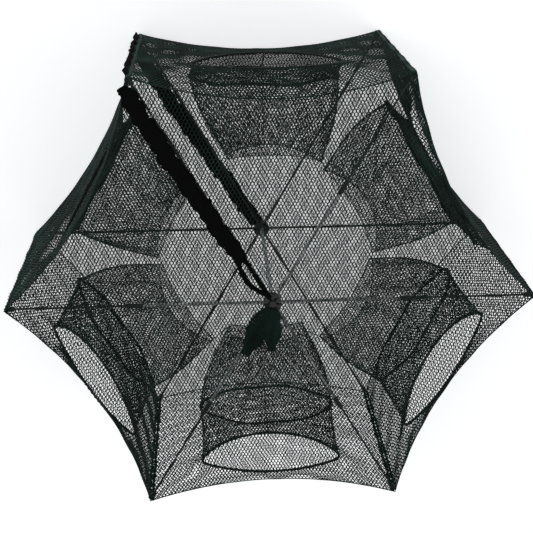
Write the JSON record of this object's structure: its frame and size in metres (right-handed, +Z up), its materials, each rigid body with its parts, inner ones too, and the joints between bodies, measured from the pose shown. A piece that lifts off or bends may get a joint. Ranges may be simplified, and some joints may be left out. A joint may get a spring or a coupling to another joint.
{
  "type": "folding crab trap",
  "caption": "Six-sided folding crab trap: netting on hinged ribs round a centre pole, with a ringed funnel entrance in each side and a closure along one rib.",
  "frame": {"origin": "on the centre pole's axis, at the surface that the open trap stands on", "axes": "+Z up the centre pole; +X along the first rib, across the corners"},
  "size_m": [0.8, 0.6928, 0.334],
  "materials": {
    "hub_plastic": "moulded black plastic",
    "steel": "galvanised steel",
    "rib_steel": "dark coated steel",
    "ring_wire": "black coated spring wire",
    "ferrule": "black sleeve with a grey rivet",
    "netting": "dark green knotless twine",
    "binding": "dark green sewn binding",
    "tape": "black fastener tape"
  },
  "bodies": {
    "core": {"top_hub": "hub_plastic", "bottom_hub": "hub_plastic", "top_hinge_wire": "steel", "bottom_hinge_wire": "steel", "centre_pole": "steel", "top_net": "netting", "bottom_net": "netting"},
    "top_rib_1": {"top_rib_1": "rib_steel", "top_rib_tip_1": "rib_steel", "top_ferrule_1": "ferrule"},
    "bottom_rib_1": {"bottom_rib_1": "rib_steel"},
    "edge_1": {"corner_binding_1": "binding", "side_net_1": "netting"},
    "entry_1": {"entrance_rings_1": "ring_wire", "funnel_1": "netting"},
    "top_rib_2": {"top_rib_2": "rib_steel", "top_rib_tip_2": "rib_steel", "top_ferrule_2": "ferrule"},
    "bottom_rib_2": {"bottom_rib_2": "rib_steel"},
    "edge_2": {"corner_binding_2": "binding", "side_net_2": "netting"},
    "entry_2": {"entrance_rings_2": "ring_wire", "funnel_2": "netting"},
    "top_rib_3": {"top_rib_3": "rib_steel", "top_rib_tip_3": "rib_steel", "top_ferrule_3": "ferrule", "closure_tape_top": "tape"},
    "bottom_rib_3": {"bottom_rib_3": "rib_steel", "closure_tape_bottom": "tape"},
    "edge_3": {"corner_binding_3": "binding", "side_net_3": "netting", "closure_tape_corner": "tape"},
    "entry_3": {"entrance_rings_3": "ring_wire", "funnel_3": "netting"},
    "top_rib_4": {"top_rib_4": "rib_steel", "top_rib_tip_4": "rib_steel", "top_ferrule_4": "ferrule"},
    "bottom_rib_4": {"bottom_rib_4": "rib_steel"},
    "edge_4": {"corner_binding_4": "binding", "side_net_4": "netting"},
    "entry_4": {"entrance_rings_4": "ring_wire", "funnel_4": "netting"},
    "top_rib_5": {"top_rib_5": "rib_steel", "top_rib_tip_5": "rib_steel", "top_ferrule_5": "ferrule"},
    "bottom_rib_5": {"bottom_rib_5": "rib_steel"},
    "edge_5": {"corner_binding_5": "binding", "side_net_5": "netting"},
    "entry_5": {"entrance_rings_5": "ring_wire", "funnel_5": "netting"},
    "top_rib_6": {"top_rib_6": "rib_steel", "top_rib_tip_6": "rib_steel", "top_ferrule_6": "ferrule"},
    "bottom_rib_6": {"bottom_rib_6": "rib_steel"},
    "edge_6": {"corner_binding_6": "binding", "side_net_6": "netting"},
    "entry_6": {"entrance_rings_6": "ring_wire", "funnel_6": "netting"}
  },
  "joints": [
    {"name": "rib_fold", "type": "hinge", "parent": "core", "child": "top_rib_1", "pos_m": [0.0085, 0, 0.323], "axis": [0, -1, 0], "range_deg": [0, 82], "deforming": ["top_net", "bottom_net", "closure_tape_top", "closure_tape_bottom", "closure_tape_corner", "corner_binding_1", "side_net_1", "entrance_rings_1", "funnel_1", "corner_binding_2", "side_net_2", "entrance_rings_2", "funnel_2", "corner_binding_3", "side_net_3", "entrance_rings_3", "funnel_3", "corner_binding_4", "side_net_4", "entrance_rings_4", "funnel_4", "corner_binding_5", "side_net_5", "entrance_rings_5", "funnel_5", "corner_binding_6", "side_net_6", "entrance_rings_6", "funnel_6"]},
    {"name": "top_rib_fold_2", "type": "hinge", "parent": "core", "child": "top_rib_2", "pos_m": [0.00425, 0.00736, 0.323], "axis": [0.866, -0.5, 0], "range_deg": [0, 82]},
    {"name": "top_rib_fold_3", "type": "hinge", "parent": "core", "child": "top_rib_3", "pos_m": [-0.00425, 0.00736, 0.323], "axis": [0.866, 0.5, 0], "range_deg": [0, 82]},
    {"name": "top_rib_fold_4", "type": "hinge", "parent": "core", "child": "top_rib_4", "pos_m": [-0.0085, 0, 0.323], "axis": [0, 1, 0], "range_deg": [0, 82]},
    {"name": "top_rib_fold_5", "type": "hinge", "parent": "core", "child": "top_rib_5", "pos_m": [-0.00425, -0.00736, 0.323], "axis": [-0.866, 0.5, 0], "range_deg": [0, 82]},
    {"name": "top_rib_fold_6", "type": "hinge", "parent": "core", "child": "top_rib_6", "pos_m": [0.00425, -0.00736, 0.323], "axis": [-0.866, -0.5, 0], "range_deg": [0, 82]},
    {"name": "bottom_rib_fold_1", "type": "hinge", "parent": "core", "child": "bottom_rib_1", "pos_m": [0.0085, 0, 0.007], "axis": [0, -1, 0], "range_deg": [0, 82]},
    {"name": "corner_hang_1", "type": "hinge", "parent": "top_rib_1", "child": "edge_1", "pos_m": [0.394, 0, 0.323], "axis": [0, -1, 0], "range_deg": [-82, 0]},
    {"name": "entrance_swing_1", "type": "hinge", "parent": "core", "child": "entry_1", "pos_m": [0.00779, 0.0045, 0.165], "axis": [0.5, -0.866, 0], "range_deg": [0, 82]},
    {"name": "bottom_rib_fold_2", "type": "hinge", "parent": "core", "child": "bottom_rib_2", "pos_m": [0.00425, 0.00736, 0.007], "axis": [0.866, -0.5, 0], "range_deg": [0, 82]},
    {"name": "corner_hang_2", "type": "hinge", "parent": "top_rib_2", "child": "edge_2", "pos_m": [0.197, 0.34121, 0.323], "axis": [0.866, -0.5, 0], "range_deg": [-82, 0]},
    {"name": "entrance_swing_2", "type": "hinge", "parent": "core", "child": "entry_2", "pos_m": [0, 0.009, 0.165], "axis": [1, 0, 0], "range_deg": [0, 82]},
    {"name": "bottom_rib_fold_3", "type": "hinge", "parent": "core", "child": "bottom_rib_3", "pos_m": [-0.00425, 0.00736, 0.007], "axis": [0.866, 0.5, 0], "range_deg": [0, 82]},
    {"name": "corner_hang_3", "type": "hinge", "parent": "top_rib_3", "child": "edge_3", "pos_m": [-0.197, 0.34121, 0.323], "axis": [0.866, 0.5, 0], "range_deg": [-82, 0]},
    {"name": "entrance_swing_3", "type": "hinge", "parent": "core", "child": "entry_3", "pos_m": [-0.00779, 0.0045, 0.165], "axis": [0.5, 0.866, 0], "range_deg": [0, 82]},
    {"name": "bottom_rib_fold_4", "type": "hinge", "parent": "core", "child": "bottom_rib_4", "pos_m": [-0.0085, 0, 0.007], "axis": [0, 1, 0], "range_deg": [0, 82]},
    {"name": "corner_hang_4", "type": "hinge", "parent": "top_rib_4", "child": "edge_4", "pos_m": [-0.394, 0, 0.323], "axis": [0, 1, 0], "range_deg": [-82, 0]},
    {"name": "entrance_swing_4", "type": "hinge", "parent": "core", "child": "entry_4", "pos_m": [-0.00779, -0.0045, 0.165], "axis": [-0.5, 0.866, 0], "range_deg": [0, 82]},
    {"name": "bottom_rib_fold_5", "type": "hinge", "parent": "core", "child": "bottom_rib_5", "pos_m": [-0.00425, -0.00736, 0.007], "axis": [-0.866, 0.5, 0], "range_deg": [0, 82]},
    {"name": "corner_hang_5", "type": "hinge", "parent": "top_rib_5", "child": "edge_5", "pos_m": [-0.197, -0.34121, 0.323], "axis": [-0.866, 0.5, 0], "range_deg": [-82, 0]},
    {"name": "entrance_swing_5", "type": "hinge", "parent": "core", "child": "entry_5", "pos_m": [0, -0.009, 0.165], "axis": [-1, 0, 0], "range_deg": [0, 82]},
    {"name": "bottom_rib_fold_6", "type": "hinge", "parent": "core", "child": "bottom_rib_6", "pos_m": [0.00425, -0.00736, 0.007], "axis": [-0.866, -0.5, 0], "range_deg": [0, 82]},
    {"name": "corner_hang_6", "type": "hinge", "parent": "top_rib_6", "child": "edge_6", "pos_m": [0.197, -0.34121, 0.323], "axis": [-0.866, -0.5, 0], "range_deg": [-82, 0]},
    {"name": "entrance_swing_6", "type": "hinge", "parent": "core", "child": "entry_6", "pos_m": [0.00779, -0.0045, 0.165], "axis": [-0.5, -0.866, 0], "range_deg": [0, 82]}
  ],
  "couplings": [
    {"joint": "bottom_rib_fold_1", "follows": "rib_fold", "ratio": 1},
    {"joint": "corner_hang_1", "follows": "rib_fold", "ratio": -1},
    {"joint": "entrance_swing_1", "follows": "rib_fold", "ratio": 1},
    {"joint": "top_rib_fold_2", "follows": "rib_fold", "ratio": 1},
    {"joint": "bottom_rib_fold_2", "follows": "rib_fold", "ratio": 1},
    {"joint": "corner_hang_2", "follows": "rib_fold", "ratio": -1},
    {"joint": "entrance_swing_2", "follows": "rib_fold", "ratio": 1},
    {"joint": "top_rib_fold_3", "follows": "rib_fold", "ratio": 1},
    {"joint": "bottom_rib_fold_3", "follows": "rib_fold", "ratio": 1},
    {"joint": "corner_hang_3", "follows": "rib_fold", "ratio": -1},
    {"joint": "entrance_swing_3", "follows": "rib_fold", "ratio": 1},
    {"joint": "top_rib_fold_4", "follows": "rib_fold", "ratio": 1},
    {"joint": "bottom_rib_fold_4", "follows": "rib_fold", "ratio": 1},
    {"joint": "corner_hang_4", "follows": "rib_fold", "ratio": -1},
    {"joint": "entrance_swing_4", "follows": "rib_fold", "ratio": 1},
    {"joint": "top_rib_fold_5", "follows": "rib_fold", "ratio": 1},
    {"joint": "bottom_rib_fold_5", "follows": "rib_fold", "ratio": 1},
    {"joint": "corner_hang_5", "follows": "rib_fold", "ratio": -1},
    {"joint": "entrance_swing_5", "follows": "rib_fold", "ratio": 1},
    {"joint": "top_rib_fold_6", "follows": "rib_fold", "ratio": 1},
    {"joint": "bottom_rib_fold_6", "follows": "rib_fold", "ratio": 1},
    {"joint": "corner_hang_6", "follows": "rib_fold", "ratio": -1},
    {"joint": "entrance_swing_6", "follows": "rib_fold", "ratio": 1}
  ]
}
